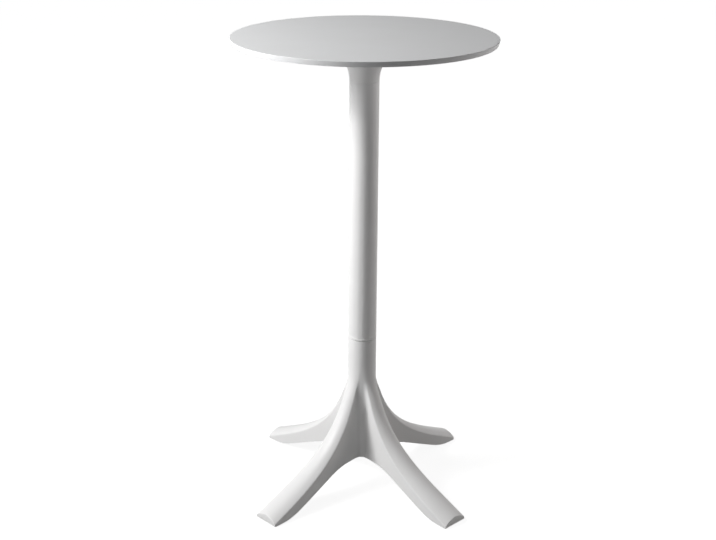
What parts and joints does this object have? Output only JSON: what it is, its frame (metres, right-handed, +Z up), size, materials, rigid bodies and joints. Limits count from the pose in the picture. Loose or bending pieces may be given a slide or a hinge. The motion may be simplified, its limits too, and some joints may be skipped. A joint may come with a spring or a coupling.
{
  "type": "bar table",
  "caption": "High round bar table: thin top on a slim round column with a trumpet head, standing on a cast base of curved crowned legs with levelling feet.",
  "frame": {"origin": "centre of the footprint on the floor, on the axis of the column", "axes": "+Z up along the column; the legs lie on the diagonals between +X and +Y; -Y faces the viewer of the picture"},
  "size_m": [0.6, 0.6, 1.11],
  "materials": {
    "powder_white": "satin",
    "laminate_white": "satin",
    "zinc_steel": "satin",
    "brass": "satin",
    "black_nylon": "matte",
    "rubber": "matte"
  },
  "bodies": {
    "table": {"table_top": "laminate_white", "top_inserts": "brass", "top_screws": "zinc_steel", "top_bracket": "powder_white", "column_tube": "powder_white", "centring_ring": "powder_white", "base_casting": "powder_white", "tie_rod": "zinc_steel", "rod_nuts": "zinc_steel", "rod_washers": "zinc_steel", "clamp_plate": "zinc_steel", "foot_inserts": "brass"},
    "foot_1": {"leveller_pad_1": "black_nylon", "leveller_sole_1": "rubber"},
    "stem_1": {"leveller_stem_1": "zinc_steel"},
    "foot_2": {"leveller_pad_2": "black_nylon", "leveller_sole_2": "rubber"},
    "stem_2": {"leveller_stem_2": "zinc_steel"},
    "foot_3": {"leveller_pad_3": "black_nylon", "leveller_sole_3": "rubber"},
    "stem_3": {"leveller_stem_3": "zinc_steel"},
    "foot_4": {"leveller_pad_4": "black_nylon", "leveller_sole_4": "rubber"},
    "stem_4": {"leveller_stem_4": "zinc_steel"}
  },
  "joints": [
    {"name": "foot_slide_1", "type": "slide", "parent": "table", "child": "foot_1", "axis": [0, 0, 1], "range_m": [-0.006, 0]},
    {"name": "stem_turn_1", "type": "hinge", "parent": "foot_1", "child": "stem_1", "pos_m": [0.20294, 0.20294, 0.008], "axis": [0, 0, 1], "range_deg": [-1728, 0]},
    {"name": "foot_slide_2", "type": "slide", "parent": "table", "child": "foot_2", "axis": [0, 0, 1], "range_m": [-0.006, 0]},
    {"name": "stem_turn_2", "type": "hinge", "parent": "foot_2", "child": "stem_2", "pos_m": [-0.20294, 0.20294, 0.008], "axis": [0, 0, 1], "range_deg": [-1728, 0]},
    {"name": "foot_slide_3", "type": "slide", "parent": "table", "child": "foot_3", "axis": [0, 0, 1], "range_m": [-0.006, 0]},
    {"name": "stem_turn_3", "type": "hinge", "parent": "foot_3", "child": "stem_3", "pos_m": [-0.20294, -0.20294, 0.008], "axis": [0, 0, 1], "range_deg": [-1728, 0]},
    {"name": "foot_slide_4", "type": "slide", "parent": "table", "child": "foot_4", "axis": [0, 0, 1], "range_m": [-0.006, 0]},
    {"name": "stem_turn_4", "type": "hinge", "parent": "foot_4", "child": "stem_4", "pos_m": [0.20294, -0.20294, 0.008], "axis": [0, 0, 1], "range_deg": [-1728, 0]}
  ],
  "couplings": [
    {"joint": "stem_turn_1", "follows": "foot_slide_1", "rad_per_m": 5026.5},
    {"joint": "stem_turn_2", "follows": "foot_slide_2", "rad_per_m": 5026.5},
    {"joint": "stem_turn_3", "follows": "foot_slide_3", "rad_per_m": 5026.5},
    {"joint": "stem_turn_4", "follows": "foot_slide_4", "rad_per_m": 5026.5}
  ]
}
